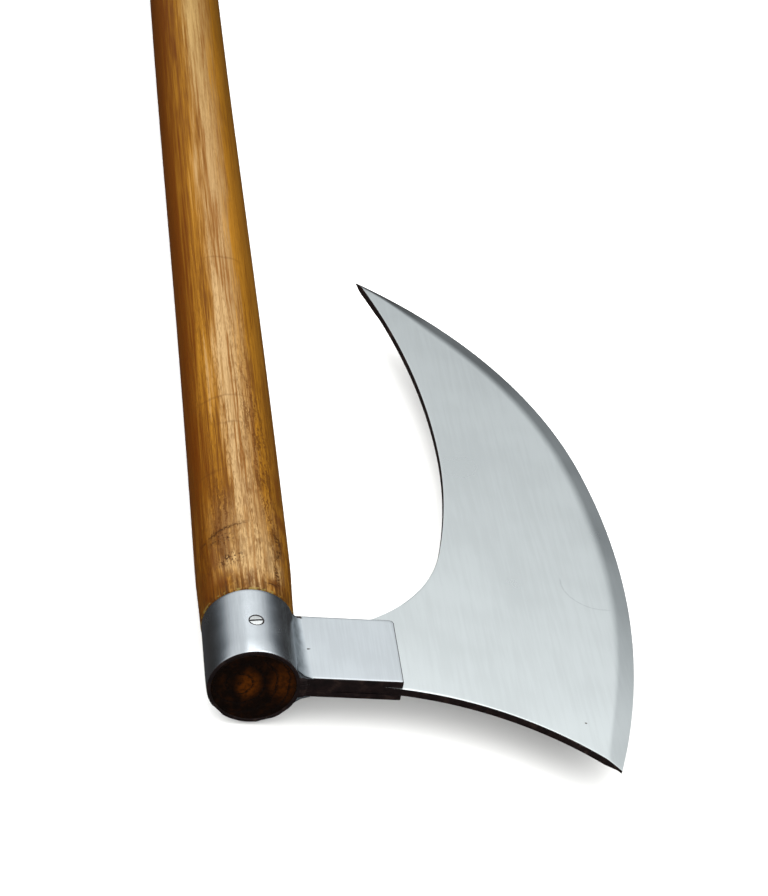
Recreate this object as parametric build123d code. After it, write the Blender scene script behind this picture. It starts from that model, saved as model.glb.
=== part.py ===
"""Crescent-bladed axe with a welded socket head on a long round haft.

The tool lies flat. +Y runs along the haft from the head end to the butt, +X points at the cutting edge and
+Z is square to the blade. The origin is on the haft's axis, in the plane of the socket's open mouth.
"""

import math
import os

from build123d import *

# Haft, in millimetres
haft_length = 900.0
haft_diameter = 42.5
shoulder_stand = 0.3
swell_length = 38.0
butt_round = 4.0
shoulder_round = 1.0
tenon_chamfer = 0.4

# Socket tube
socket_diameter = 40.0
socket_length = 40.0
socket_wall = 2.0
socket_rim_chamfer = 0.3
tenon_clearance = 0.05

# Neck: the blade's tang between two cheek plates
neck_length = 43.5
neck_height = 40.3
neck_setback = 1.3
cheek_thickness = 3.2
cheek_corner_radius = 2.0
haft_relief = 0.3

# Blade plate
blade_thickness = 4.0
bevel_width = 8.0
edge_land = 0.5
heel_curve_radius = 151.0

# Blade outline: distance out from the end of the cheeks, and distance up from the middle of the neck
horn_out = 12.5
horn_up = 299.0
shoulder_out = 106.5
shoulder_up = 143.5
belly_out = 112.5
belly_up = 72.7
toe_out = 88.0
toe_down = 64.3
waist_out = 37.2
waist_up = 150.4
throat_out = 27.5
throat_up = 71.9
throat_root_in = 16.5
heel_root_in = 8.1

# Welds between neck and tube: a hollow fillet on each cheek, and a bead down the side next to the mouth
weld_radius_near_mouth = 8.0
weld_radius_far = 4.0
mouth_weld_width = 2.8
mouth_weld_setback = 0.25

# Slotted countersunk wood screw, number 5
screw_length = 16.0
screw_shank_diameter = 3.2
screw_root_diameter = 2.2
screw_head_diameter = 6.1
screw_head_rim = 0.25
screw_head_sink = 0.15
screw_slot_width = 0.9
screw_slot_depth = 0.8
screw_slot_turn = 8.0
screw_plain_length = 3.5
screw_thread_pitch = 1.3
screw_thread_base_below = 0.42
screw_thread_base_above = 0.24
screw_thread_sink = 0.15
screw_point_length = 3.0
screw_hole_clearance = 0.1
screw_pilot_diameter = 2.0

# Places that follow from the sizes above
haft_radius = haft_diameter / 2
socket_radius = socket_diameter / 2
shoulder_radius = socket_radius + shoulder_stand
tenon_radius = socket_radius - socket_wall - tenon_clearance
neck_end = socket_radius + neck_length
neck_top = neck_setback + neck_height
neck_middle = neck_setback + neck_height / 2
half_plate = blade_thickness / 2
neck_half_thickness = half_plate + cheek_thickness
screw_place = socket_length / 2
countersink_depth = (screw_head_diameter - screw_shank_diameter) / 2
head_bottom = -screw_head_rim - countersink_depth
thread_top = head_bottom - screw_plain_length

OVERSHOOT = 2.0


def blade_point(out, up):
    """A point of the blade outline, from the end of the cheeks and the middle of the neck."""
    return (neck_end + out, neck_middle + up)


def along_haft(shape):
    """Turns a shape drawn along +Z so that it lies along +Y."""
    return Rot(X=-90) * shape


def cylinder_along_haft(radius, start, end):
    """A solid cylinder on the haft's axis from one station to another."""
    return Pos(0, (start + end) / 2, 0) * along_haft(Cylinder(radius, end - start))


def make_screw():
    """The screw stands on +Z with the top of its head at its own origin."""
    head_radius = screw_head_diameter / 2
    shank_radius = screw_shank_diameter / 2
    root_radius = screw_root_diameter / 2
    point_top = -screw_length + screw_point_length
    body = Polyline(
        (0, 0),
        (head_radius, 0),
        (head_radius, -screw_head_rim),
        (shank_radius, head_bottom),
        (shank_radius, thread_top),
        (root_radius, thread_top - (shank_radius - root_radius)),
        (root_radius, point_top),
        (0, -screw_length),
        close=True,
    )
    screw = revolve(Plane.XZ * make_face(body), Axis.Z)
    slot = Box(screw_head_diameter + OVERSHOOT, screw_slot_width, 2 * screw_slot_depth)
    screw -= Rot(Z=screw_slot_turn) * slot
    return screw + make_thread(root_radius, shank_radius, point_top, thread_top)


def make_thread(root_radius, crest_radius, bottom, top):
    """A ridge of saw-tooth section wound round the core, with its base sunk into it."""
    base_radius = root_radius - screw_thread_sink
    length = top - (crest_radius - root_radius) - bottom
    helix = Pos(0, 0, bottom) * Helix(screw_thread_pitch, length, base_radius)
    ridge = Polyline(
        (0, -screw_thread_base_below),
        (crest_radius - base_radius, 0),
        (0, screw_thread_base_above),
        close=True,
    )
    across_helix = Plane(origin=helix @ 0, x_dir=(1, 0, 0), z_dir=helix % 0)
    return sweep(across_helix * make_face(ridge), path=helix, is_frenet=True)


def make_screw_hole():
    """Clearance hole and countersink in the tube wall, drawn like the screw."""
    seat_radius = screw_head_diameter / 2 + screw_hole_clearance
    hole_radius = screw_shank_diameter / 2 + screw_hole_clearance
    hole = Polyline(
        (0, OVERSHOOT),
        (seat_radius, OVERSHOOT),
        (seat_radius, -screw_head_rim),
        (hole_radius, head_bottom),
        (hole_radius, -socket_wall - screw_head_diameter),
        (0, -socket_wall - screw_head_diameter),
        close=True,
    )
    return revolve(Plane.XZ * make_face(hole), Axis.Z)


def make_pilot_hole():
    """A clearance hole for the plain shank and a narrow hole that the thread bites into, drawn like the screw."""
    shank_hole_radius = screw_shank_diameter / 2 + screw_hole_clearance
    pilot_radius = screw_pilot_diameter / 2
    hole = Polyline(
        (0, OVERSHOOT),
        (shank_hole_radius, OVERSHOOT),
        (shank_hole_radius, thread_top),
        (pilot_radius, thread_top),
        (pilot_radius, -screw_length),
        (0, -screw_length),
        close=True,
    )
    return revolve(Plane.XZ * make_face(hole), Axis.Z)


def place_screw(shape):
    """Moves a shape drawn about the screw's own axis to the crown of the tube."""
    return Pos(0, screw_place, socket_radius - screw_head_sink) * shape


def make_socket_tube():
    tube = cylinder_along_haft(socket_radius, 0, socket_length)
    tube -= cylinder_along_haft(socket_radius - socket_wall, -OVERSHOOT, socket_length + OVERSHOOT)
    tube = chamfer(tube.edges().filter_by(GeomType.CIRCLE), socket_rim_chamfer)
    return tube - place_screw(make_screw_hole())


def turned_haft(allowance):
    """Tenon, shoulder against the tube's far rim, swell, straight pole and butt, each grown by an allowance."""
    tenon_end = tenon_radius + allowance
    shoulder_end = shoulder_radius + allowance
    pole_end = haft_radius + allowance
    tenon = Polyline(
        (0, 0),
        (tenon_end - tenon_chamfer, 0),
        (tenon_end, tenon_chamfer),
        (tenon_end, socket_length),
        (shoulder_end - shoulder_round, socket_length),
    )
    rim_centre = (shoulder_end - shoulder_round, socket_length + shoulder_round)
    rim = CenterArc(rim_centre, shoulder_round, -90, 90)
    swell_end = (pole_end, socket_length + swell_length)
    swell = Spline(rim @ 1, swell_end, tangents=[(0, 1), (0, 1)])
    pole = Line(swell_end, (pole_end, haft_length - butt_round))
    butt = CenterArc((pole_end - butt_round, haft_length - butt_round), butt_round, 0, 90)
    core = Polyline(butt @ 1, (0, haft_length), (0, 0))
    return revolve(make_face([tenon, rim, swell, pole, butt, core]), Axis.Y)


def make_haft():
    return turned_haft(0) - place_screw(make_pilot_hole())


def cutting_edge():
    """The convex edge from toe to horn: three arcs that run smoothly into each other at belly and shoulder."""
    toe = blade_point(toe_out, -toe_down)
    belly = blade_point(belly_out, belly_up)
    shoulder = blade_point(shoulder_out, shoulder_up)
    horn = blade_point(horn_out, horn_up)
    lower = TangentArc(belly, toe, tangent=(0, -1))
    middle = TangentArc(belly, shoulder, tangent=(0, 1))
    upper = TangentArc(shoulder, horn, tangent=middle % 1)
    return lower, middle, upper


def throat_curve():
    """The hollow side from horn to neck: straight up and down at the waist, tighter towards the neck."""
    horn = blade_point(horn_out, horn_up)
    waist = blade_point(waist_out, waist_up)
    throat = blade_point(throat_out, throat_up)
    root = (neck_end - throat_root_in, neck_top)
    upper = TangentArc(waist, horn, tangent=(0, 1))
    middle = TangentArc(waist, throat, tangent=(0, -1))
    lower = TangentArc(throat, root, tangent=middle % 1)
    return upper, middle, lower


def make_bevel_cutter(lower, middle, upper):
    """A wedge carried along the cutting edge and a little past both ends; it leaves the upper ground face."""
    run_out = 3 * bevel_width
    toe_end = lower @ 1
    toe_direction = lower % 1
    horn_end = upper @ 1
    horn_direction = upper % 1
    before = Line(toe_end + toe_direction * run_out, toe_end)
    after = Line(horn_end, horn_end + horn_direction * run_out)
    path = Wire([before.edge(), lower.edge(), middle.edge(), upper.edge(), after.edge()])
    slope = (half_plate - edge_land / 2) / bevel_width
    wedge = Polyline(
        (-OVERSHOOT, edge_land / 2 - slope * OVERSHOOT),
        (bevel_width + OVERSHOOT, half_plate + slope * OVERSHOOT),
        (-OVERSHOOT, half_plate + slope * OVERSHOOT),
        close=True,
    )
    forward = path % 0
    inward = Vector(-forward.Y, forward.X, 0)
    start = Plane(origin=path @ 0, x_dir=inward, z_dir=-forward)
    section = start * make_face(wedge)
    return sweep(section, path=path)


def make_blade():
    edge_lower, edge_middle, edge_upper = cutting_edge()
    throat_upper, throat_middle, throat_lower = throat_curve()
    heel_root = (neck_end - heel_root_in, neck_setback)
    heel = RadiusArc(heel_root, edge_lower @ 1, heel_curve_radius)
    tang = Polyline(throat_lower @ 1, (0, neck_top), (0, neck_setback), heel_root)
    outline = [edge_lower, edge_middle, edge_upper, throat_upper, throat_middle, throat_lower, tang, heel]
    plate = extrude(make_face(outline), half_plate, both=True)
    cutter = make_bevel_cutter(edge_lower, edge_middle, edge_upper)
    plate -= cutter
    plate -= mirror(cutter, Plane.XY)
    return plate - make_neck_cutter()


def make_neck_cutter():
    """What the neck fits round: the tube, and past the tube the haft with a little room to spare."""
    tube = cylinder_along_haft(socket_radius, -OVERSHOOT, socket_length)
    return tube + turned_haft(haft_relief)


def make_cheek():
    """The upper cheek plate, square at the mouth side and rounded at its far outer corner."""
    cheek = Box(
        neck_end,
        neck_height,
        cheek_thickness,
        align=(Align.MIN, Align.MIN, Align.MIN),
    )
    cheek = Pos(0, neck_setback, half_plate) * cheek
    corner = cheek.edges().filter_by(Axis.Z).sort_by(SortBy.DISTANCE)[-1]
    cheek = fillet(corner, cheek_corner_radius)
    return cheek - make_neck_cutter()


def weld_section(radius, station):
    """A hollow fillet that meets cheek and tube smoothly, with a back inside both that is cut away later."""
    centre_z = neck_half_thickness + radius
    centre_x = math.sqrt((socket_radius + radius) ** 2 - centre_z**2)
    toward_tube = socket_radius / (socket_radius + radius)
    tube_touch = (centre_x * toward_tube, centre_z * toward_tube)
    cheek_touch = (centre_x, neck_half_thickness)
    back_z = neck_half_thickness - cheek_thickness / 2
    hollow = RadiusArc(tube_touch, cheek_touch, -radius)
    back = Polyline(cheek_touch, (centre_x, back_z), (tube_touch[0] - OVERSHOOT, back_z), tube_touch)
    across_haft = Plane(origin=(0, station, 0), x_dir=(1, 0, 0), z_dir=(0, -1, 0))
    return across_haft * make_face([hollow, back])


def make_weld():
    near = weld_section(weld_radius_near_mouth, neck_setback)
    far = weld_section(weld_radius_far, socket_length)
    weld = loft([near, far], ruled=True)
    weld -= cylinder_along_haft(socket_radius, -OVERSHOOT, socket_length + OVERSHOOT)
    below = Box(4 * neck_end, 4 * neck_height, 2 * neck_half_thickness)
    return weld - below


def make_mouth_weld():
    """A bead in the corner between the tube and the neck's edge, as long as the neck is thick."""
    edge_touch = (socket_radius + mouth_weld_width, neck_setback)
    tube_touch = (socket_radius, mouth_weld_setback)
    inside_x = socket_radius - OVERSHOOT
    crown = RadiusArc(tube_touch, edge_touch, -2 * mouth_weld_width)
    back = Polyline(edge_touch, (inside_x, neck_setback), (inside_x, mouth_weld_setback), tube_touch)
    bead = extrude(make_face([crown, back]), neck_half_thickness, both=True)
    return bead - cylinder_along_haft(socket_radius, -OVERSHOOT, socket_length)


def main():
    cheek = make_cheek()
    weld = make_weld()
    parts = {
        "haft": make_haft(),
        "socket_tube": make_socket_tube(),
        "blade": make_blade(),
        "upper_cheek": cheek,
        "lower_cheek": mirror(cheek, Plane.XY),
        "upper_weld": weld,
        "lower_weld": mirror(weld, Plane.XY),
        "mouth_weld": make_mouth_weld(),
        "socket_screw": place_screw(make_screw()),
    }
    os.makedirs("parts", exist_ok=True)
    for name, shape in parts.items():
        export_step(shape, f"parts/{name}.step")


if __name__ == "__main__":
    main()
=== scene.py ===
"""Surfaces, finishes, light and camera for a crescent-bladed axe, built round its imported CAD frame.

Every piece is a surface worked out with numpy in the frame's own metres: +Y runs along the haft from the
head to the butt, +X points at the cutting edge and +Z is square to the blade.
"""

import math

import bmesh
import bpy
import numpy as np
from bpy.props import FloatProperty, FloatVectorProperty, PointerProperty
from bpy.types import Operator, Panel, PropertyGroup
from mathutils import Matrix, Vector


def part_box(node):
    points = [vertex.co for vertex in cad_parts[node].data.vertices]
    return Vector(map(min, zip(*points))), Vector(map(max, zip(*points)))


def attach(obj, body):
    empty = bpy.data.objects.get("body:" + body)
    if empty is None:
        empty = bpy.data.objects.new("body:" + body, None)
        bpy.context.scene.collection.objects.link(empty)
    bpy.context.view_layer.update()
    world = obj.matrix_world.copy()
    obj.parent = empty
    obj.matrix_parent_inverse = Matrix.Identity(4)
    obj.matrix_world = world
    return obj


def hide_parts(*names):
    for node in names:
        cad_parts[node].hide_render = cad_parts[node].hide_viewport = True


bl_info = {
    "name": "Crescent Axe",
    "version": (1, 0, 0),
    "blender": (4, 5, 0),
    "location": "3D View > Sidebar > Axe",
    "description": "Builds the surfaces and finishes of an old socketed axe round its CAD frame",
    "category": "Add Mesh",
}

MM = 0.001
MERGE_GAP = 0.002 * MM
SLIVER = 0.0005 * MM
SHARP_ANGLE = math.radians(35)

# Shares of the cutting edge's length, from the toe, at which the heel ends and the throat begins
HEEL_SHARE, TANG_SHARE = 0.27, 0.36
NOSE_ROWS = 6
CORNER_STEPS = 5

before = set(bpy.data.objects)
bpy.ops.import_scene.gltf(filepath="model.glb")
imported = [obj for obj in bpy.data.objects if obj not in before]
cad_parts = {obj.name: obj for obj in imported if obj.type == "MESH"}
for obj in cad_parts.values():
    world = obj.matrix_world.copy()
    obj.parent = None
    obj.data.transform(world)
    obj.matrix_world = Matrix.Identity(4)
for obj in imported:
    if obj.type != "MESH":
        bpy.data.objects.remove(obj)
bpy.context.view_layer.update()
haft_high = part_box("haft")[1]
tube_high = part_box("socket_tube")[1]
cheek_low, cheek_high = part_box("upper_cheek")
screw_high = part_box("socket_screw")[1]


def linear(hex_colour):
    """An sRGB hex colour as linear red, green and blue."""
    channels = np.array([int(hex_colour[i : i + 2], 16) for i in (1, 3, 5)]) / 255
    bright = ((channels + 0.055) / 1.055) ** 2.4
    return tuple(np.where(channels > 0.04045, bright, channels / 12.92).tolist())


def length(name, description, default):
    """A length property, in metres."""
    return FloatProperty(name=name, description=description, default=default, unit="LENGTH", precision=5)


def colour(name, description, hex_colour):
    """A colour property with its default given in sRGB."""
    return FloatVectorProperty(
        name=name,
        description=description,
        default=linear(hex_colour),
        size=3,
        min=0.0,
        max=1.0,
        subtype="COLOR",
    )


class AxeSizes(PropertyGroup):
    """Sizes of the surfaces, taken from the CAD frame where it gives them."""

    haft_length: length("Haft Length", "From the socket's mouth to the butt", haft_high.y)
    haft_radius: length("Haft Radius", "Radius of the straight pole", haft_high.z)
    shoulder_stand: length("Shoulder Stand", "How far the haft stands proud of the tube", 0.3 * MM)
    shoulder_round: length("Shoulder Round", "Radius of the haft's edge at the tube's rim", 1 * MM)
    swell_length: length("Swell Length", "Length over which the haft swells to its full radius", 38 * MM)
    butt_round: length("Butt Round", "Radius of the edge of the butt", 4 * MM)
    haft_bow: length("Haft Bow", "How far the shaved haft wanders from a straight line", 0.5 * MM)
    socket_radius: length("Socket Radius", "Outer radius of the tube", tube_high.z)
    socket_length: length("Socket Length", "Length of the tube", tube_high.y)
    socket_wall: length("Socket Wall", "Wall thickness of the tube", 2 * MM)
    rim_round: length("Rim Round", "Radius of the tube's worn rims", 0.3 * MM)
    neck_end: length("Neck End", "Where the cheek plates stop, out from the haft's axis", cheek_high.x)
    neck_low: length("Neck Low", "Side of the neck nearer the mouth", cheek_low.y)
    neck_high: length("Neck High", "Side of the neck nearer the butt", cheek_high.y)
    cheek_top: length("Cheek Top", "Height of the cheek plate's outer face", cheek_high.z)
    cheek_corner: length("Cheek Corner", "Radius of the cheek's far outer corner", 2 * MM)
    plate_half: length("Half Plate", "Half the blade's thickness", 2 * MM)
    bevel_width: length("Bevel Width", "Width of the ground bevel at its widest", 8 * MM)
    land_half: length("Half Land", "Half the thickness of the cutting edge", 0.25 * MM)
    toe_land: length("Toe Land", "How much thicker the land is on each side at the toe", 0.45 * MM)
    corner_wear: length("Corner Wear", "Worn radius of the blade's lower inner corner", 1 * MM)
    weld_near: length("Weld Near Mouth", "Fillet radius of the cheek weld next to the mouth", 8 * MM)
    weld_far: length("Weld Far", "Fillet radius of the cheek weld at its far end", 4 * MM)
    bead_width: length("Bead Width", "Width of the weld bead beside the mouth", 2.8 * MM)
    screw_head: length("Screw Head Radius", "Radius of the countersunk head", 3.05 * MM)
    screw_shank: length("Screw Shank Radius", "Radius of the shank and of the thread's crest", 1.6 * MM)
    screw_root: length("Screw Root Radius", "Radius of the core between the threads", 1.1 * MM)
    screw_pitch: length("Screw Pitch", "Rise of the thread in one turn", 1.3 * MM)
    slot_half: length("Half Slot", "Half the width of the screw's slot", 0.45 * MM)
    slot_depth: length("Slot Depth", "Depth of the screw's slot", 0.8 * MM)
    slot_turn: FloatProperty(
        name="Slot Turn",
        description="How far the slot is turned from square to the haft",
        default=math.radians(8),
        subtype="ANGLE",
    )


class AxeColours(PropertyGroup):
    """The main colour of each finish."""

    stain: colour("Stain", "Amber stain on the haft", "#AE751C")
    # Pale crown colour: partly thin stain, partly painted highlight
    sapwood_and_highlight: colour("Sapwood", "Pale wood where the stain is thin", "#C8A370")
    pores: colour("Pores", "Dirt in the pores and cracks", "#45260C")
    # Near-black end grain: partly old oil, partly painted shade
    end_grain: colour("End Grain", "Oil-soaked end grain", "#1B0D05")
    heartwood: colour("Heartwood", "Orange heart in the end grain", "#8C480A")
    blade: colour("Blade", "Ground steel of the blade", "#CBD2D3")
    cheek: colour("Cheek", "Ground steel of the cheek plates", "#C1C8CC")
    socket: colour("Socket", "Brushed steel of the tube", "#C6CDD2")
    weld: colour("Weld", "Dressed weld metal", "#B9C3C9")
    # Nearly black brown: partly scale and old oil on cut edges, partly painted shade
    scale: colour("Scale", "Scale and old oil on cut edges", "#2A1D1C")
    screw: colour("Screw", "Bright screw", "#D8DCDC")
    floor: colour("Floor", "Studio floor", "#F4F4F2")


# Meshes


def patch(points, wrap=(False, False), paint=0, keep=True):
    """Points of a grid, the quads between its neighbouring rows and columns, and each quad's material.

    points is rows x columns x 3. wrap says whether the last row and the last column join the first.
    paint and keep are one value, or an array with one for each quad.
    """
    rows, columns = points.shape[:2]
    row, column = np.meshgrid(
        np.arange(rows if wrap[0] else rows - 1),
        np.arange(columns if wrap[1] else columns - 1),
        indexing="ij",
    )
    next_row = (row + 1) % rows
    next_column = (column + 1) % columns
    quads = np.stack(
        [
            row * columns + column,
            row * columns + next_column,
            next_row * columns + next_column,
            next_row * columns + column,
        ],
        axis=-1,
    )
    kept = np.broadcast_to(keep, row.shape)
    return points.reshape(-1, 3), quads[kept], np.broadcast_to(paint, row.shape)[kept]


def add_piece(name, patches, materials, nodes):
    """Joins patches into one closed mesh with its normals outward, which stands for the CAD nodes."""
    offsets = np.cumsum([0] + [len(points) for points, _, _ in patches])
    points = np.concatenate([points for points, _, _ in patches])
    quads = np.concatenate([quads + start for (_, quads, _), start in zip(patches, offsets)])
    paints = np.concatenate([paint for _, _, paint in patches])
    mesh = bpy.data.meshes.new(name)
    mesh.vertices.add(len(points))
    mesh.loops.add(quads.size)
    mesh.polygons.add(len(quads))
    mesh.vertices.foreach_set("co", points.ravel())
    mesh.loops.foreach_set("vertex_index", quads.ravel())
    mesh.polygons.foreach_set("loop_start", np.arange(0, quads.size, 4))
    mesh.polygons.foreach_set("material_index", paints)
    mesh.update(calc_edges=True)
    shell = bmesh.new()
    shell.from_mesh(mesh)
    bmesh.ops.remove_doubles(shell, verts=shell.verts, dist=MERGE_GAP)
    bmesh.ops.dissolve_degenerate(shell, edges=shell.edges, dist=SLIVER)
    if any(not edge.is_manifold for edge in shell.edges):
        raise RuntimeError(f"{name} isn't closed")
    bmesh.ops.recalc_face_normals(shell, faces=shell.faces)
    shell.to_mesh(mesh)
    shell.free()
    mesh.polygons.foreach_set("use_smooth", np.ones(len(mesh.polygons), bool))
    mesh.set_sharp_from_angle(angle=SHARP_ANGLE)
    for material in materials:
        mesh.materials.append(material)
    piece = bpy.data.objects.new(name, mesh)
    bpy.context.scene.collection.objects.link(piece)
    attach(piece, "root")
    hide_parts(*nodes)
    return piece


def stack(*columns):
    """Coordinates that broadcast against each other, as one array of points."""
    return np.stack(np.broadcast_arrays(*columns), axis=-1).astype(float)


def polyline(*points, step=1 * MM):
    """Points along straight runs, none further apart than the step, with each corner kept."""
    runs = []
    for start, end in zip(points, points[1:]):
        count = max(1, math.ceil(math.dist(start, end) / step))
        runs.append(np.linspace(start, end, count, endpoint=False))
    return np.concatenate(runs + [np.array(points[-1:], float)])


def quarter(centre, radius, start, count=6):
    """A quarter turn about a centre, from the start angle on."""
    turn = start + np.linspace(0, math.pi / 2, count)
    return stack(centre[0] + radius * np.cos(turn), centre[1] + radius * np.sin(turn))


def smooth(value, low, high):
    """0 below low, 1 above high, and three t squared less two t cubed between them."""
    t = np.clip((value - low) / (high - low), 0, 1)
    return t * t * (3 - 2 * t)


def closed_ends(rows):
    """The rows with their own middle added before the first and after the last, which closes both ends."""
    first = np.broadcast_to(rows[:1].mean(axis=1, keepdims=True), rows[:1].shape)
    last = np.broadcast_to(rows[-1:].mean(axis=1, keepdims=True), rows[-1:].shape)
    return np.concatenate([first, rows, last])


# Shapes


def haft_points(size, columns=224):
    """The haft as a turned profile carried round its axis, which wanders along a long sine wave.

    Radius grows from the shoulder to the pole as three t squared less two t cubed. Chips in the shoulder's
    edge are three sine waves round the haft added together and cut off below a threshold.
    """
    end = size.haft_length
    tenon = size.socket_radius - size.socket_wall - 0.05 * MM
    rim = size.socket_length
    shoulder = size.socket_radius + size.shoulder_stand
    round_end = rim + size.shoulder_round
    swell_end = rim + size.swell_length
    pole = size.haft_radius
    swell = np.concatenate(
        [
            np.arange(round_end, round_end + 5 * MM, 0.25 * MM),
            np.arange(round_end + 5 * MM, swell_end, 1 * MM),
        ]
    )[1:]
    profile = np.concatenate(
        [
            polyline((0, 0), (tenon - 0.4 * MM, 0)),
            polyline((tenon, 0.4 * MM), (tenon, rim), step=4 * MM),
            quarter((shoulder - size.shoulder_round, round_end), size.shoulder_round, -math.pi / 2),
            stack(shoulder + (pole - shoulder) * smooth(swell, round_end, swell_end), swell),
            polyline((pole, swell_end), (pole, end - size.butt_round), step=6 * MM),
            quarter((pole - size.butt_round, end - size.butt_round), size.butt_round, 0, 9)[1:],
            polyline((pole - size.butt_round, end), (0, end), step=2 * MM)[1:],
        ]
    )
    radius, along = profile[:, :1], profile[:, 1:]
    turn = np.linspace(0, 2 * math.pi, columns, endpoint=False)[None]
    chips = np.sin(7 * turn + 1) + np.sin(19 * turn + 2) + np.sin(43 * turn + 0.4)
    chip_depth, chip_reach = 0.2 * MM, 1.2 * MM
    chips = chip_depth * np.clip(chips - 0.6, 0, 1.2) * np.exp(-(((along - round_end) / chip_reach) ** 2))
    free = smooth(along, round_end, swell_end)
    shaved = radius * (1 + free * (0.004 * np.sin(2 * turn + 0.7) + 0.002 * np.sin(5 * turn + along * 9)))
    radius = np.where(along > rim, shaved - chips * (radius > tenon), radius)
    half_wave = 360 * MM
    bow = size.haft_bow * free * np.sin(math.pi * (along - rim) / half_wave)
    return stack(radius * np.sin(turn) + bow, along, radius * np.cos(turn)), profile


def on_tube(radius, turn, along):
    """Points of a cylinder about the haft's axis; the turn starts at the crown and goes towards the blade."""
    return stack(radius * np.sin(turn), along, radius * np.cos(turn))


def tube_patches(size, window=6 * MM, steps=16):
    """A tube with rounded rims, and a countersunk hole through its crown.

    The wall is a closed profile carried round the axis. Near the mouth it is worn back, by the square of how
    near, and dented underneath by two sine waves added together. A square window is left open in its outer
    and inner faces, and rows of points run from the outer square in to the hole's round edge, down the seat
    of the screw, and out again to the inner square.
    """
    outer = size.socket_radius
    inner = outer - size.socket_wall
    end = size.socket_length
    rim = size.rim_round
    middle = end / 2
    side = middle + np.linspace(-window, window, steps + 1)
    reach = window / outer
    across = np.linspace(-reach, reach, steps + 1)
    rest = np.linspace(reach, 2 * math.pi - reach, 220)[1:-1]
    turn = np.concatenate([across, rest])[None]
    wall = np.concatenate(
        [
            np.linspace(rim, side[0], 12, endpoint=False),
            side,
            np.linspace(side[-1], end - rim, 13)[1:],
        ]
    )
    profile = np.concatenate(
        [
            stack(outer, wall),
            quarter((outer - rim, end - rim), rim, 0, 5)[1:],
            quarter((inner + rim, end - rim), rim, math.pi / 2, 5),
            stack(inner, wall[::-1])[1:],
            quarter((inner + rim, rim), rim, math.pi, 5)[1:],
            quarter((outer - rim, rim), rim, 1.5 * math.pi, 5)[:-1],
        ]
    )
    radius, along = profile[:, :1], profile[:, 1:]
    next_along = np.roll(along, -1)
    next_radius = np.roll(radius, -1)
    dents = np.clip(np.sin(5 * turn + 1) + np.sin(11 * turn + 2), 0, 1.5) * smooth(-np.cos(turn), 0, 0.5)
    worn = np.clip(1 - along / (9 * MM), 0, 1) ** 2 + dents * np.clip(1 - along / (5 * MM), 0, 1) ** 2
    wear_depth = 0.3 * MM
    worn = wear_depth * worn * (radius > inner + rim)
    flat = (radius == next_radius) & (np.minimum(along, next_along) >= side[0] - 1e-9)
    in_window = flat & (np.maximum(along, next_along) <= side[-1] + 1e-9)
    column = np.arange(turn.size)[None]
    keep = ~(in_window & (column < steps))
    # The mouth's end face and its rounded rims are painted dark: partly scale on the cut end, partly painted
    # shade on a face turned from the light
    at_mouth = np.maximum(along, next_along) < rim * 1.01
    wall_patch = patch(on_tube(radius - worn, turn, along), (True, True), at_mouth.astype(int), keep)

    still = np.ones(steps)
    square_turn = np.concatenate([across[:-1], reach * still, across[:0:-1], -reach * still])
    square_along = np.concatenate([side[0] * still, side[:-1], side[-1] * still, side[:0:-1]])
    bearing = np.arctan2(square_along - middle, square_turn * outer)
    seat = size.screw_head + 0.35 * MM
    hole = size.screw_shank + 0.2 * MM
    inward = np.linspace(0, 1, 8)[:, None]

    def ring_rows(face_radius, hole_radius):
        """Rows from the square window to the hole's edge on one face of the wall."""
        edge_turn = np.arcsin(hole_radius * np.cos(bearing) / face_radius)
        edge_along = middle + hole_radius * np.sin(bearing)
        return on_tube(
            face_radius,
            square_turn + (edge_turn - square_turn) * inward,
            square_along + (edge_along - square_along) * inward,
        )

    seat_floor = stack(seat * np.cos(bearing), middle + seat * np.sin(bearing), outer - 0.4 * MM)[None]
    hole_rows = np.concatenate([ring_rows(outer, seat), seat_floor, ring_rows(inner, hole)[::-1]])
    # The seat round the screw's head and the hole below it are painted dark as painted shade in the gap
    in_seat = (np.arange(len(hole_rows) - 1) >= len(inward) - 1).astype(int)[:, None]
    return [wall_patch, patch(hole_rows, (False, True), in_seat)]


def arc(start, end, heading, count=120):
    """Points on the arc that leaves start along a heading and passes through end, its centre and its radius.

    The turn is twice the angle between heading and chord, and the radius half the chord over that angle's
    sine. It also gives the heading at the end.
    """
    start, end, heading = (np.array(v, float) for v in (start, end, heading))
    chord = end - start
    normal = np.array([-heading[1], heading[0]])
    half_turn = math.atan2(chord @ normal, chord @ heading)
    radius = np.linalg.norm(chord) / (2 * math.sin(half_turn))
    swing = np.linspace(0, 2 * half_turn, count)[:, None]
    points = start + radius * (heading * np.sin(swing) + normal * (1 - np.cos(swing)))
    last = heading * math.cos(2 * half_turn) + normal * math.sin(2 * half_turn)
    return points, start + radius * normal, abs(radius), last


def blade_outline(size):
    """The cutting edge from toe to horn and the hollow side from neck to horn, each of three smooth arcs."""
    far = size.neck_end
    middle = (size.neck_low + size.neck_high) / 2

    def point(out, up):
        """A point of the outline, in millimetres out from the neck's end and up from its middle."""
        return (far + out * MM, middle + up * MM)

    toe, belly = point(88, -64.3), point(112.5, 72.7)
    shoulder, horn = point(106.5, 143.5), point(12.5, 299)
    waist, throat = point(37.2, 150.4), point(27.5, 71.9)
    throat_root = (far - 16.5 * MM, size.neck_high)
    heel_root = (far - 8.1 * MM, size.neck_low)
    lower = arc(belly, toe, (0, -1))
    middle_arc = arc(belly, shoulder, (0, 1))
    upper = arc(shoulder, horn, middle_arc[3])
    throat_upper = arc(waist, horn, (0, 1))
    throat_middle = arc(waist, throat, (0, -1))
    throat_lower = arc(throat, throat_root, throat_middle[3])
    edge = np.concatenate([lower[0][::-1], middle_arc[0][1:], upper[0][1:]])
    hollow = np.concatenate([throat_lower[0][::-1], throat_middle[0][::-1][1:], throat_upper[0][1:]])
    return edge, (lower, middle_arc, upper), hollow, np.array(heel_root), np.array(toe)


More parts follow.
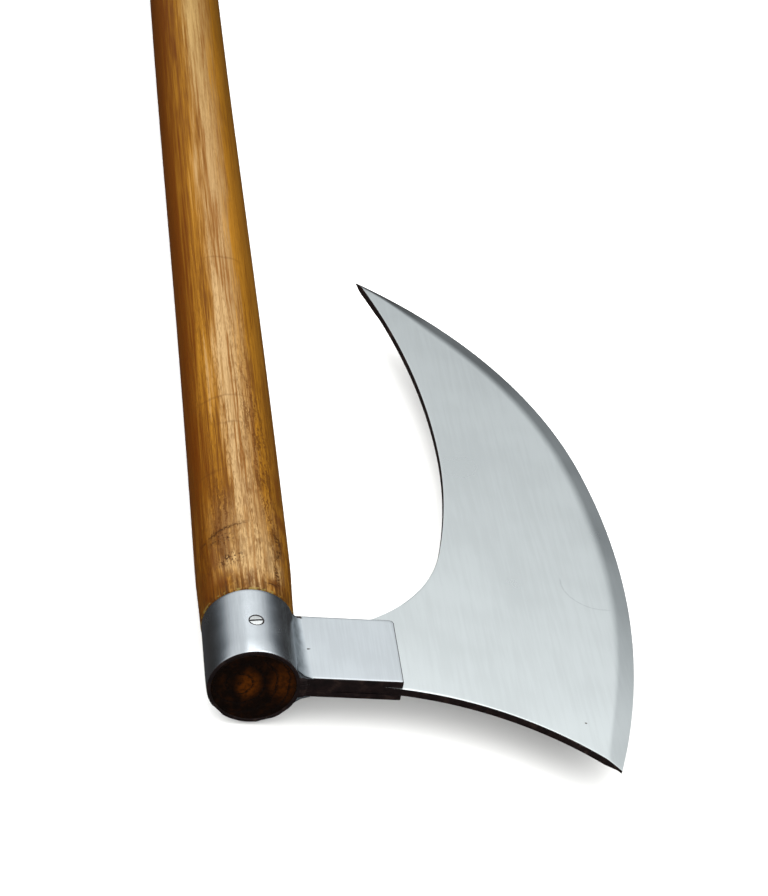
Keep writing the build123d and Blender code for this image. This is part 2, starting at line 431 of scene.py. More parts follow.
def shallow_arc(start, end, radius, count=60):
    """Points on a wide arc of the given radius that bulges to the left of the way from start to end."""
    chord = end - start
    span = np.linalg.norm(chord)
    left = np.array([-chord[1], chord[0]]) / span
    centre = (start + end) / 2 - left * math.sqrt(radius**2 - (span / 2) ** 2)
    half = math.asin(span / 2 / radius)
    swing = np.linspace(-half, half, count)[:, None]
    return centre + radius * (left * np.cos(swing) + chord / span * np.sin(swing))


def spaced(line, fractions):
    """Points of a line at fractions of its length."""
    run = np.concatenate([[0], np.cumsum(np.linalg.norm(np.diff(line, axis=0), axis=1))])
    want = fractions * run[-1]
    return stack(np.interp(want, run, line[:, 0]), np.interp(want, run, line[:, 1]))


def edge_distance(points, arcs):
    """Distance from points to the nearest of three arcs: from the circle beside an arc, or from its ends."""
    nearest = np.full(points.shape[:-1], np.inf)
    for line, centre, radius, _ in arcs:
        middle = line[len(line) // 2] - centre
        reach = (line[0] - centre) @ middle
        spoke = points - centre
        distance = np.linalg.norm(spoke, axis=-1)
        beside = spoke @ middle >= reach * distance / radius
        ends = [np.linalg.norm(points - line[i], axis=-1) for i in (0, -1)]
        nearest = np.minimum(nearest, np.where(beside, np.abs(distance - radius), np.minimum(*ends)))
    return nearest


def blunt_nose(outer, inner, before):
    """Ends of the lines past the last one, which shrink along a half ellipse to a point.

    outer and inner are the last line's ends, and before is the middle of a line a few rows back.
    """
    middle, half = (outer + inner) / 2, (outer - inner) / 2
    ahead = middle - before
    ahead = ahead / np.linalg.norm(ahead) * np.linalg.norm(half)
    swing = np.linspace(0, math.pi / 2, NOSE_ROWS + 1)[1:, None]
    shift = middle + ahead * np.sin(swing)
    return shift + half * np.cos(swing), shift - half * np.cos(swing)


def blade_lines(size, rows=300):
    """Straight lines ruled from the cutting edge to the heel, the tang and the throat, and the edge's arcs.

    Each line has an outer and an inner end, the share of the edge at which it starts, and whether it ends in
    the tang. The shares at the tang's two sides come twice, so that the tang has a sharp root.
    """
    edge, arcs, hollow, heel_root, toe = blade_outline(size)
    heel_radius = 151 * MM
    heel = shallow_arc(heel_root, toe, heel_radius)[::-1]
    u = np.linspace(0.001, 0.999, rows)
    u = np.sort(np.concatenate([u, [HEEL_SHARE, HEEL_SHARE, TANG_SHARE, TANG_SHARE]]))
    outer = spaced(edge, u)
    on_heel = spaced(heel, np.clip(u / HEEL_SHARE, 0, 1))
    root = np.array([heel_root, hollow[0]])
    on_root = spaced(root, np.clip((u - HEEL_SHARE) / (TANG_SHARE - HEEL_SHARE), 0, 1))
    on_throat = spaced(hollow, np.clip((u - TANG_SHARE) / (1 - TANG_SHARE), 0, 1))
    inner = np.where((u <= HEEL_SHARE)[:, None], on_heel, on_root)
    inner = np.where((u >= TANG_SHARE)[:, None], on_throat, inner)
    index = np.arange(len(u))
    first, last = np.searchsorted(u, HEEL_SHARE) + 1, np.searchsorted(u, TANG_SHARE)
    in_tang = ((index >= first) & (index <= last))[:, None]

    middles = (outer + inner) / 2
    toe_outer, toe_inner = blunt_nose(outer[0], inner[0], middles[3])
    horn_outer, horn_inner = blunt_nose(outer[-1], inner[-1], middles[-4])
    outer = np.concatenate([toe_outer[::-1], outer, horn_outer])
    inner = np.concatenate([toe_inner[::-1], inner, horn_inner])
    in_tang = np.pad(in_tang, ((NOSE_ROWS, NOSE_ROWS), (0, 0)))
    return outer, inner, np.pad(u, NOSE_ROWS, "edge"), in_tang, arcs


def blade_patch(size, across=104, tang_steps=6):
    """The blade: its lines carried over the top, round a worn corner, down the wall and back underneath.

    Half the thickness is the smaller of the plate's and the bevel's, rounded where they meet. The bevel's
    grows evenly with distance from the edge, from a land that thickens towards the toe.
    """
    outer, inner, u, in_tang, arcs = blade_lines(size)
    tube_end = np.where(inner[:, 1] > size.socket_length - 0.5 * MM, size.socket_radius + 0.75 * MM, 0)
    tube_end = np.maximum(tube_end, size.socket_radius + 0.05 * MM)
    line_end = np.where(in_tang, stack(tube_end, inner[:, 1]), inner)
    span = np.linalg.norm(outer - inner, axis=1, keepdims=True)
    back = (outer - inner) / np.maximum(span, 1e-9)
    end_back = np.where(in_tang, np.array([1.0, 0.0]), back)
    narrower = 0.15 * (1 - smooth(u, 0, 0.09)) + 0.62 * smooth(u, 0.84, 1.0)
    width = size.bevel_width * (1 - narrower)[:, None]
    land = size.land_half + size.toe_land * (1 - smooth(u, 0.02, 0.42))[:, None]
    soft = 0.06 + 0.19 * smooth(u, 0.05, 0.4)[:, None]

    def half_thickness(points):
        """The smaller of plate and bevel, rounded where they meet, over a wider stretch away from the toe."""
        ramp = land + (size.plate_half - land) * edge_distance(points, arcs) / width
        gap = np.clip(0.5 + (ramp - size.plate_half) / (2 * soft * size.plate_half), 0, 1)
        rounded = ramp + (size.plate_half - ramp) * gap - soft * size.plate_half * gap * (1 - gap)
        return np.minimum(rounded, size.plate_half)

    def face(worn):
        """Points from the edge to a worn corner, along the line and out along the tang, with their height."""
        radius = np.minimum(np.where(in_tang, 0.1 * MM, worn), 0.35 * span)
        corner_body = inner + back * radius
        corner_end = np.where(in_tang, line_end + end_back * radius, corner_body)
        share = (np.linspace(0, 1, across) ** 2.0)[None, :, None]
        body = outer[:, None] + (corner_body - outer)[:, None] * share
        share = np.linspace(0, 1, tang_steps + 1)[None, 1:, None]
        tang = corner_body[:, None] + (corner_end - corner_body)[:, None] * share
        points = np.concatenate([body, tang], axis=1)
        height = half_thickness(points)
        lean = np.linspace(0, math.pi / 2, CORNER_STEPS + 1)[None, 1:]
        edge_drop = np.minimum(radius, height[:, -1:])
        corner = corner_end[:, None] - end_back[:, None] * (radius * np.sin(lean))[..., None]
        corner_height = height[:, -1:] - edge_drop * (1 - np.cos(lean))
        return np.concatenate([points, corner], axis=1), np.concatenate([height, corner_height], axis=1)

    worn_top = 0.4 * MM - 0.3 * MM * smooth(u, 0.19, HEEL_SHARE) * (u < TANG_SHARE)
    top, top_height = face(worn_top[:, None])
    low, low_height = face(size.corner_wear * (1 - 0.8 * smooth(u, 0.93, 0.95))[:, None])
    loop = np.concatenate([top, low[:, ::-1]], axis=1)
    heights = np.concatenate([top_height, -low_height[:, ::-1]], axis=1)
    points = np.concatenate([loop, heights[..., None]], axis=-1)
    columns = points.shape[1]
    # The wall and the worn corners beside it are painted dark: partly scale on the cut edge, partly painted
    # shade that draws thin dark lines along the corners
    to_wall = np.abs(np.arange(columns) - (columns // 2 - 1))
    cut = np.broadcast_to(to_wall < CORNER_STEPS, (len(points) - 1, columns))
    return patch(points, (False, True), cut.astype(int))


def cheek_patch(size, side):
    """A cheek plate: its outline carried up the wall, over an eased edge and in to the middle.

    The side against the tube follows the square root of the tube's radius squared less height squared.
    """
    low, high = size.neck_low, size.neck_high
    far = size.neck_end
    tube = size.socket_radius + 0.02 * MM
    rim = size.socket_length
    relief = size.shoulder_stand + 0.35 * MM
    small = 0.4 * MM
    wide = size.cheek_corner
    outline = np.concatenate(
        [
            polyline((tube, low), (far - small, low), step=2 * MM),
            quarter((far - small, low + small), small, -math.pi / 2, 5)[1:],
            quarter((far - wide, high - wide), wide, 0, 9),
            polyline((far - wide, high), (tube + relief, high), (tube + relief, rim), step=2 * MM)[1:],
            polyline((tube, rim), (tube, low), step=2 * MM)[:-1],
        ]
    )
    against = outline[:, 0] <= tube + relief
    eased = 0.5 * MM
    lean = np.linspace(0, math.pi / 2, 6)
    rounded = size.cheek_top - eased + eased * np.sin(lean)
    heights = np.concatenate([[size.plate_half] * 2, rounded, [size.cheek_top] * 2])
    inset = np.concatenate([[0, 0], eased * (1 - np.cos(lean)), [3 * eased, 0]])
    middle = np.array([(tube + far) / 2, (low + high) / 2])
    reach = np.array([far - tube, high - low]) / 2
    share = 1 - inset[:, None, None] / reach
    share[0] = share[-1] = 0
    loop = middle + (outline - middle)[None] * share
    follow = np.sqrt(outline[:, 0] ** 2 - heights[:, None] ** 2) - outline[:, 0]
    loop[..., 0] += np.where(against, follow, 0) * (share[..., 0] > 0)
    points = stack(loop[..., 0], loop[..., 1], side * heights[:, None])
    # The wall and the lower part of the eased edge are painted dark: partly scale on the cut edge, partly
    # painted shade that draws a thin dark line round the plate
    paint = np.zeros((len(heights) - 1, 1), int)
    paint[1:6] = 1
    return patch(points, (False, True), paint)


def weld_patch(size, side):
    """A hollow fillet between tube and cheek: an arc that touches both, with its radius even along the neck.

    The arc's centre is its radius above the cheek and its radius outside the tube.
    """
    along = np.linspace(size.neck_low, size.socket_length, 90)[:, None]
    share = (along - size.neck_low) / (size.socket_length - size.neck_low)
    ripple = 0.1 * MM * np.sin(along / (0.35 * MM) + 1.5 * np.sin(along / (2.3 * MM)))
    radius = size.weld_near + (size.weld_far - size.weld_near) * share + ripple
    tube = size.socket_radius
    centre_z = size.cheek_top + radius
    centre_x = np.sqrt((tube + radius) ** 2 - centre_z**2)
    start = np.arctan2(-centre_z, -centre_x)
    swing = np.linspace(0, 1, 18)[None]
    angle = start + (-math.pi / 2 - start) * swing
    hollow = stack(centre_x + radius * np.cos(angle), along, centre_z + radius * np.sin(angle))
    inside = size.cheek_top - 0.3 * MM
    under_x = np.sqrt(tube**2 - inside**2) - 0.1 * MM
    back = np.concatenate([stack(centre_x, along, inside), stack(under_x, along, inside)], axis=1)
    points = closed_ends(np.concatenate([hollow, back], axis=1))
    return patch(points * np.array([1, 1, side]), (False, True))


def bead_patch(size):
    """The weld bead beside the mouth: a quarter ellipse carried up the neck, with ripples and blunt ends."""
    height = np.linspace(-size.cheek_top, size.cheek_top, 70)[:, None]
    blunt = np.sqrt(np.clip(1 - (height / (size.cheek_top + 0.3 * MM)) ** 8, 0, 1))
    ripple = 1 + 0.07 * np.sin(height / (0.2 * MM)) + 0.05 * np.sin(height / (0.83 * MM) + 1)
    wide = size.bead_width * blunt * ripple
    deep = (size.neck_low - 0.25 * MM) * blunt * ripple
    tube = np.sqrt(size.socket_radius**2 - height**2)
    swing = np.linspace(0, math.pi / 2, 14)[None]
    crown = stack(tube + wide * np.sin(swing), size.neck_low - deep * np.cos(swing), height)
    buried = size.neck_low + 0.3 * MM
    sunk = tube - 0.3 * MM
    back = np.concatenate([stack(tube + wide, buried, height), stack(sunk, buried, height)], axis=1)
    foot = stack(sunk, size.neck_low - deep, height)
    points = closed_ends(np.concatenate([crown, back, foot], axis=1))
    return patch(points, (False, True))


def screw_patches(size, columns=97):
    """A slotted countersunk wood screw standing on its point.

    The head is lines ruled across the disc beside the slot, which drops straight down between its walls.
    The body is a profile carried round the axis, with a ridge where its height, in pitches, fits the turn.
    """
    head = size.screw_head
    slot = math.asin(size.slot_half / head)
    quarter_turn = math.pi / 2
    bearing = np.linspace(-quarter_turn, quarter_turn, columns)
    bearing = np.sort(np.concatenate([bearing, [-slot] * 2, [slot] * 2]))
    side = head * np.sin(bearing)[:, None]
    share = np.concatenate([[-1, -0.97, -0.96], np.linspace(-0.9, 0.9, 41), [0.96, 0.97, 1]])[None]
    run = head * np.cos(bearing)[:, None] * share
    dome = 0.1 * MM * (1 - (run**2 + side**2) / head**2)
    index = np.arange(len(bearing))
    low = (index >= np.searchsorted(bearing, -slot) + 1) & (index <= np.searchsorted(bearing, slot))
    in_slot = low[:, None] & (np.abs(share) < 0.965)
    top = stack(run, side, np.where(in_slot, -size.slot_depth, dome))
    # The slot and a thin ring at the head's rim are painted dark as painted shade
    at_rim = np.hypot(run, side) > head - 0.28 * MM
    slot_and_rim_shade = (in_slot[:-1, :-1] | in_slot[1:, 1:] | at_rim[1:, 1:]).astype(int)

    around = np.concatenate([bearing, math.pi - bearing[::-1][1:-1]])
    shank, root = size.screw_shank, size.screw_root
    rim = 0.25 * MM
    head_bottom = -rim - (head - shank)
    thread_top = head_bottom - 3.5 * MM
    tip = -16 * MM
    profile = polyline(
        (head, 0),
        (head, -rim),
        (shank, head_bottom),
        (shank, thread_top),
        (root, thread_top - (shank - root)),
        (root, tip + 3 * MM),
        (0.01 * MM, tip),
        step=0.12 * MM,
    )
    radius, height = profile[:, :1], profile[:, 1:]
    phase = np.mod(height / size.screw_pitch - around[None] / (2 * math.pi), 1)
    ridge = np.clip(1 - np.abs(phase - 0.5) / 0.22, 0, 1)
    threaded = smooth(-height, -thread_top + 0.3 * MM, -thread_top + 1 * MM)
    threaded = threaded * smooth(height, tip, tip + 3 * MM)
    radius = radius + (shank - root) * ridge * threaded
    body = stack(radius * np.cos(around), radius * np.sin(around), height)
    point = np.broadcast_to([0.0, 0.0, tip], body[-1:].shape)
    body = np.concatenate([body, point])
    cos, sin = math.cos(size.slot_turn), math.sin(size.slot_turn)
    turned = np.array([[cos, sin, 0], [-sin, cos, 0], [0, 0, 1]])
    place = np.array([0, size.socket_length / 2, screw_high.z])
    return [patch(top @ turned + place, paint=slot_and_rim_shade), patch(body @ turned + place, (False, True))]


# Finishes

MODES = {
    "Mapping": "vector_type",
    "MapRange": "interpolation_type",
    "Math": "operation",
    "Mix": "data_type",
    "VectorMath": "operation",
}
WHITE = (1.0, 1.0, 1.0)

# In millimetres: the heart of the tree, beside the haft's axis, and a height that reaches through any piece
PITH = (-6.3, 0, 1.8)
ANY_HEIGHT = 1e6


def fill(tree, socket, value):
    """Links a socket to another node's output, or gives it a colour, a number or numbers."""
    if isinstance(value, bpy.types.NodeSocket):
        tree.links.new(value, socket)
    elif socket.type == "RGBA":
        socket.default_value = (*value[:3], 1)
    else:
        socket.default_value = value


def node(tree, kind, *values, take=None, stops=(), **named):
    """Adds a node with its settings and links, and returns one of its outputs.

    kind is the node's type and, after a space, its mode. values fill its first sockets in order. A name that
    has a capital letter is a socket's, and any other is a setting's. stops are a colour ramp's.
    """
    kind, _, mode = kind.partition(" ")
    made = tree.nodes.new(f"ShaderNode{kind}")
    if mode:
        setattr(made, MODES[kind], mode)
    for name in filter(str.islower, named):
        setattr(made, name, named[name])
    sockets = [socket for socket in made.inputs if socket.enabled]
    for socket, value in zip(sockets, values):
        fill(tree, socket, value)
    for name in named:
        if not name.islower():
            fill(tree, next(socket for socket in sockets if socket.name == name), named[name])
    if stops:
        ramp = made.color_ramp.elements
        for position, _ in stops[1:-1]:
            ramp.new(position)
        for element, (position, value) in zip(ramp, stops):
            element.position = position
            element.color = (*value[:3], 1)
    return next(output for output in made.outputs if output.enabled and take in (None, output.name))


def new_material(name):
    """A material, its node tree, and Object coordinates in millimetres."""
    material = bpy.data.materials.new(name)
    material.use_nodes = True
    tree = material.node_tree
    return material, tree, node(tree, "VectorMath SCALE", node(tree, "TexCoord", take="Object"), 1 / MM)


def finish(material, **looks):
    """Fills the surface shader's sockets, which are named with underscores for spaces."""
    tree = material.node_tree
    for name, value in looks.items():
        fill(tree, tree.nodes["Principled BSDF"].inputs[name.replace("_", " ")], value)
    return material


def lumps(tree, place, size_mm, detail=3.0, roughness=0.5):
    """Soft random lumps that are size_mm = (x, y, z) millimetres across."""
    scaled = node(tree, "Mapping", place, Scale=tuple(1 / size for size in size_mm))
    return node(tree, "TexNoise", scaled, 1.0, detail, roughness)


def marks(tree, place, shapes, edge=0.3):
    """1 inside any of the ellipses on the surface, fading out over their rims.

    Each shape is its middle, its half width and half length in millimetres, and its turn in degrees.
    """
    total = None
    for middle, half, turn in shapes:
        turned = (0, 0, math.radians(turn))
        local = node(tree, "Mapping TEXTURE", place, (*middle, 0), turned, (*half, ANY_HEIGHT))
        distance = node(tree, "VectorMath LENGTH", local)
        inside = node(tree, "MapRange SMOOTHSTEP", distance, 1 + edge, 1 - edge)
        total = inside if total is None else node(tree, "Math MAXIMUM", total, inside)
    return total


def wobble(tree, place, size_mm, by):
    """Places shifted to and fro by noise, so that what is drawn on them has an uneven outline."""
    scaled = node(tree, "VectorMath SCALE", place, 1 / size_mm)
    shift = node(tree, "TexNoise", scaled, 1.0, 3.0, take="Color")
    centred = node(tree, "VectorMath SUBTRACT", shift, (0.5, 0.5, 0.5))
    return node(tree, "VectorMath ADD", place, node(tree, "VectorMath SCALE", centred, 2 * by))


def coats(tree, under, *layers):
    """Coats laid one over another, each given as where it lies, how thickly, and its colour."""
    for where, amount, tint in layers:
        under = node(tree, "Mix RGBA", node(tree, "Math MULTIPLY", where, amount), under, tint)
    return under


def from_pith(tree, place):
    """Distance from the heart of the tree, square to the haft, in millimetres."""
    away = node(tree, "VectorMath SUBTRACT", place, PITH)
    return node(tree, "VectorMath LENGTH", node(tree, "VectorMath MULTIPLY", away, (1, 0, 1)))


def stained_ash(size, colours):
    """Ash riven along the grain, shaved round, stained amber and oiled.

    The eye sees long amber streaks, golden on the crown where the stain is thin and a painted highlight lies,
    darker flanks that are partly stain and partly painted shade, dark dashes where open pores hold grime, and
    short cracks and bruises across the grain near the head.
    """
    material, tree, place = new_material("stained_ash")
    x, y, z = node(tree, "SeparateXYZ", place).node.outputs
    around = node(tree, "Math MULTIPLY", node(tree, "Math ARCTAN2", x, z), size.haft_radius / MM)
    skin = node(tree, "CombineXYZ", around, y)
    ragged = wobble(tree, wobble(tree, skin, 5.0, 1.4), 1.3, 0.5)

    # Stain in bands 5 mm wide, streaks 1.3 mm wide and bundles of cells, drawn 0.7 mm wide so that they show
    broad = lumps(tree, place, (5, 130, 5), 2)
    streaks = lumps(tree, place, (1.3, 60, 1.3), 2, 0.6)
    fibre = lumps(tree, place, (0.7, 26, 0.7), 2, 0.6)
    near_head = node(tree, "MapRange SMOOTHSTEP", y, 380, 110)
    tone = node(tree, "Math MULTIPLY", broad, 0.35)
    tone = node(tree, "Math MULTIPLY_ADD", streaks, 0.4, tone)
    tone = node(tree, "Math MULTIPLY_ADD", fibre, 0.25, tone)
    lively = node(tree, "Math MULTIPLY_ADD", near_head, 1.1, 0.8)
    tone = node(tree, "Math MULTIPLY_ADD", node(tree, "Math SUBTRACT", tone, 0.5), lively, 0.5)
    dark = tuple(c * f for c, f in zip(colours.stain, (0.5, 0.42, 0.35)))
    pale = tuple(c * f for c, f in zip(colours.stain, (1.35, 1.4, 1.7)))
    wood = node(tree, "ValToRGB", tone, stops=[(0.4, dark), (0.5, colours.stain), (0.6, pale)])

    # Crown paler, partly thin stain and partly painted highlight; left flank darker and red, right flank
    # dull, partly stain and partly painted shade; ragged borders
    fray = around
    for pattern, reach in ((broad, 16.0), (streaks, 14.0)):
        fray = node(tree, "Math MULTIPLY_ADD", node(tree, "Math SUBTRACT", pattern, 0.5), reach, fray)
    off_crown = node(tree, "Math ABSOLUTE", node(tree, "Math SUBTRACT", fray, 0.5))
    golden = [(0.42, linear("#A9743A")), (0.5, colours.sapwood_and_highlight), (0.6, linear("#E2C08C"))]
    crown = node(tree, "MapRange SMOOTHSTEP", off_crown, 11, 2, 0, 0.75)
    wood = node(tree, "Mix RGBA", crown, wood, node(tree, "ValToRGB", tone, stops=golden))
    # The painted shade on the flanks grows stronger away from the socket
    further = node(tree, "Math ADD", node(tree, "MapRange SMOOTHSTEP", y, 75, 130, 0, 0.4), 0.6)
    wood = coats(
        tree,
        wood,
        (node(tree, "MapRange SMOOTHSTEP", fray, -8, -22, 0, 0.88), further, linear("#783A02")),
        (node(tree, "MapRange SMOOTHSTEP", fray, 9, 20, 0, 0.6), further, linear("#875718")),
    )
    faded = node(tree, "MapRange SMOOTHSTEP", y, 330, 620, 0, 0.55)
    olive = node(tree, "Mix RGBA", faded, WHITE, linear("#D8D8A8"))
    wood = node(tree, "Mix RGBA", 1.0, wood, olive, blend_type="MULTIPLY")

    # The head end: worn to cream, soaked red-brown, mottled, blotched, pale from hands, darker next to the
    # socket
    cream = [((1.5, 66), (8, 15), 0), ((11, 60), (4, 14), 8), ((-6, 60), (6, 6), 0)]
    soaked = [
        ((-23, 50), (7, 13), 15),
        ((-14, 48), (3, 4.5), 20),
        ((-17, 66), (2, 9), 0),
        ((18.5, 95), (4.5, 4.5), 0),
        ((20, 120), (2, 12), 0),
        ((12, 47), (4, 3), 0),
    ]
    worn_off = node(tree, "MapRange SMOOTHSTEP", streaks, 0.35, 0.6, 0, 0.75)
    mottle = node(tree, "MapRange SMOOTHSTEP", lumps(tree, place, (1.8, 13, 1.8), 4, 0.65), 0.47, 0.6)
    blotch = node(tree, "MapRange SMOOTHSTEP", lumps(tree, place, (4, 11, 4), 4, 0.7), 0.5, 0.6)
    beyond = node(tree, "MapRange SMOOTHSTEP", y, 46, 56, 0, 0.25)
    gripped = node(tree, "Math MULTIPLY", node(tree, "MapRange SMOOTHSTEP", y, 115, 85), beyond)
    on_top = node(tree, "MapRange SMOOTHSTEP", node(tree, "Math ABSOLUTE", fray), 22, 8)
    # Darker greyish brown over about the last 10 mm before the socket
    darker_near_socket = node(tree, "MapRange SMOOTHSTEP", y, 52, 42, 0, 0.65)
    wood = coats(
        tree,
        wood,
        (marks(tree, ragged, cream, 0.7), worn_off, linear("#EBC88F")),
        (marks(tree, ragged, soaked, 0.5), 0.65, linear("#6E3408")),
        (mottle, node(tree, "MapRange SMOOTHSTEP", y, 190, 80, 0, 0.6), linear("#7C4A12")),
        (blotch, node(tree, "MapRange SMOOTHSTEP", y, 120, 75, 0, 0.5), linear("#5E2F08")),
        (gripped, on_top, linear("#F0C483")),
        (darker_near_socket, node(tree, "MapRange SMOOTHSTEP", streaks, 0.7, 0.3), linear("#4A3216")),
    )

    # Growth rings 2.5 mm apart, and open pores as dashes 5 mm long, drawn 0.4 mm wide so that they show
    bend = node(tree, "Math MULTIPLY", lumps(tree, place, (9, 60, 9), 2), 5.0)
    rings = node(tree, "Math DIVIDE", node(tree, "Math ADD", from_pith(tree, place), bend), 2.5)
    off_ring = node(tree, "Math SUBTRACT", node(tree, "Math FRACT", rings), 0.5)
    early = node(tree, "MapRange SMOOTHSTEP", node(tree, "Math ABSOLUTE", off_ring), 0.5, 0.1)
    dashes = node(tree, "MapRange SMOOTHSTEP", lumps(tree, place, (0.4, 5, 0.4), 1), 0.5, 0.62)
    pores = node(tree, "Math MULTIPLY", dashes, node(tree, "Math MULTIPLY_ADD", early, 0.7, 0.3))
    pores = node(tree, "Math MULTIPLY", pores, node(tree, "Math MULTIPLY_ADD", near_head, 0.4, 0.2))
    wood = node(tree, "Mix RGBA", pores, wood, dark)

    # Wavy dark lines of cathedral grain, faint and deep cracks broken where the wood holds, and old glue
    flames = node(tree, "MapRange SMOOTHSTEP", lumps(tree, ragged, (1.4, 22, 1), 2), 0.5, 0.58)
    flame_zone = marks(tree, ragged, [((11, 130), (6, 80), 3), ((-11, 90), (5, 30), 0)], 0.5)
    faint = [
        ((-15, 125), (8, 0.9), -3),
        ((-3, 160), (5.5, 0.9), 2),
        ((-9, 181), (14, 0.8), 3),
        ((2, 303), (8, 0.9), 0),
    ]
    deep = [
        ((-12.5, 82), (11, 1.3), 14),
        ((9.6, 45.5), (3.5, 0.8), 0),
        ((13, 52), (1.3, 7), 8),
        ((14.5, 68), (1.3, 5), -20),
        ((15, 78), (1.5, 4), 20),
    ]
    holds = node(tree, "MapRange SMOOTHSTEP", lumps(tree, skin, (1.5, 1.2, 1), 4, 0.7), 0.45, 0.54)
    bruise = marks(tree, ragged, [((-9.5, 61.5), (7, 3), 10), ((-12, 76), (6, 3), 0)], 0.6)
    specks = node(tree, "MapRange SMOOTHSTEP", lumps(tree, place, (0.8, 1.7, 0.8), 1), 0.54, 0.6)
    cracks = node(tree, "Math MULTIPLY", marks(tree, ragged, deep, 0.6), holds)
    cracks = node(tree, "Math MAXIMUM", cracks, node(tree, "Math MULTIPLY", bruise, specks))
    rim = size.socket_length / MM
    lip = node(tree, "MapRange SMOOTHSTEP", y, rim + 1.6, rim + 0.9, 0, 0.7)
    glue = node(tree, "MapRange SMOOTHSTEP", lumps(tree, place, (2, 2, 2), 3), 0.5, 0.58)
    wood = coats(
        tree,
        wood,
        (node(tree, "Math MULTIPLY", flames, flame_zone), 0.75, linear("#6A3D0F")),
        (marks(tree, ragged, faint, 0.8), 0.32, linear("#6A3D0F")),
        (cracks, 0.85, colours.pores),
        (lip, glue, linear("#A8904A")),
    )

    worn = node(tree, "Math MAXIMUM", cracks, node(tree, "Math MULTIPLY", pores, 0.6))
    relief = node(tree, "Math SUBTRACT", node(tree, "Math MULTIPLY", fibre, 0.7), worn)
    return finish(
        material,
        Base_Color=wood,
        Normal=node(tree, "Bump", Height=relief, Strength=0.6, Distance=0.25 * MM),
        Roughness=node(tree, "MapRange", streaks, 0, 1, 0.36, 0.52),
        Specular_IOR_Level=0.1,
    )


def end_grain(colours):
    """Sawn end grain soaked with old oil, and darkened further by painted shade on a face turned from the
    light: almost black, with rings of open pores about an orange heart.
    """
    material, tree, place = new_material("oiled_and_shaded_end_grain")
    uneven = wobble(tree, place, 5.0, 1.2)
    phase = node(tree, "Math FRACT", node(tree, "Math DIVIDE", from_pith(tree, uneven), 5.2))
    early = node(tree, "MapRange SMOOTHSTEP", phase, 0.3, 0)
    # Near-black ground colour: partly old oil, partly painted shade
    soaked = [(0.35, linear("#110803")), (0.5, colours.end_grain), (0.68, linear("#361A06"))]
    dark = node(tree, "ValToRGB", lumps(tree, place, (5, 5, 5), 4, 0.6), stops=soaked)
    x, _, z = node(tree, "SeparateXYZ", uneven).node.outputs
    face = node(tree, "CombineXYZ", x, z)
    heart = node(tree, "Math MULTIPLY", marks(tree, face, [((-2.4, 1.5), (4.2, 6), 0)], 0.7), 0.9)
    edge = node(tree, "Math MULTIPLY", marks(tree, face, [((12, 3), (4.5, 8), 10)], 0.8), 0.5)
    mottle = node(tree, "MapRange SMOOTHSTEP", lumps(tree, place, (2.2, 2.2, 2.2), 3, 0.6), 0.35, 0.6)
    pits = node(tree, "MapRange SMOOTHSTEP", lumps(tree, place, (0.8, 0.8, 0.8), 1), 0.42, 0.55)
    open_pores = node(tree, "Math MULTIPLY", node(tree, "Math MULTIPLY", pits, early), 0.85)
    wood = coats(
        tree,
        dark,
        (
            node(tree, "Math MAXIMUM", heart, edge),
            node(tree, "Math MULTIPLY_ADD", mottle, 0.6, 0.4),
            colours.heartwood,
        ),
        (early, 0.5, colours.end_grain),
    )
    relief = node(tree, "Math SUBTRACT", lumps(tree, place, (1.2, 1.2, 1.2), 4, 0.6), open_pores)
    return finish(
        material,
        Base_Color=node(tree, "Mix RGBA", open_pores, wood, linear("#0C0604")),
        Normal=node(tree, "Bump", Height=relief, Strength=0.7, Distance=0.4 * MM),
        Roughness=0.6,
        Specular_IOR_Level=0.12,
    )


def worked_steel(name, base, roughness, streak_mm, blotch_mm, contrast, pits=(), scratches=(), fade=None):
    """Mild steel worked bright by hand: fine streaks along the way it was rubbed, and soft uneven patches.

    Streaks draw reflections out into soft bands. Real ones are too fine to show, so these are as coarse as
    they need to be. Pits and scratches are shapes as marks() takes them, in the plane of the blade. fade is a
    second colour, and the distances out from the haft's axis, in millimetres, between which it takes over.
    """
    material, tree, place = new_material(name)
    streaks = lumps(tree, place, streak_mm, 3, 0.6)
    patches = lumps(tree, place, (blotch_mm,) * 3, 3, 0.55)
    fine = lumps(tree, place, (2.5, 2.5, 2.5), 3, 0.6)
    halves = [node(tree, "Math MULTIPLY", pattern, 0.5) for pattern in (streaks, patches)]
    shade = node(tree, "MapRange SMOOTHSTEP", node(tree, "Math ADD", *halves), 0.6, 0.4)
    metal = node(tree, "Mix RGBA", shade, base, tuple(c * (1 - contrast) for c in base))
    if fade:
        other, start, end = fade
        out = node(tree, "SeparateXYZ", place).node.outputs["X"]
        ragged = node(tree, "Math MULTIPLY_ADD", node(tree, "Math SUBTRACT", patches, 0.5), 3.0, out)
        metal = node(tree, "Mix RGBA", node(tree, "MapRange SMOOTHSTEP", ragged, start, end), metal, other)
    if pits:
        spots = marks(tree, wobble(tree, place, 1.5, 0.3), pits, 0.4)
        metal = node(tree, "Mix RGBA", spots, metal, linear("#39302C"))
    if scratches:
        lines = marks(tree, wobble(tree, place, 6.0, 0.2), scratches, 0.5)
        metal = coats(tree, metal, (lines, 0.25, linear("#8B9296")))
    relief = node(tree, "Math ADD", streaks, node(tree, "Math MULTIPLY", fine, 0.6))
    return finish(
        material,
        Base_Color=metal,
        Normal=node(tree, "Bump", Height=relief, Strength=0.2, Distance=0.035 * MM),
        Roughness=node(tree, "MapRange", patches, 0.3, 0.7, *roughness),
        Metallic=1.0,
    )


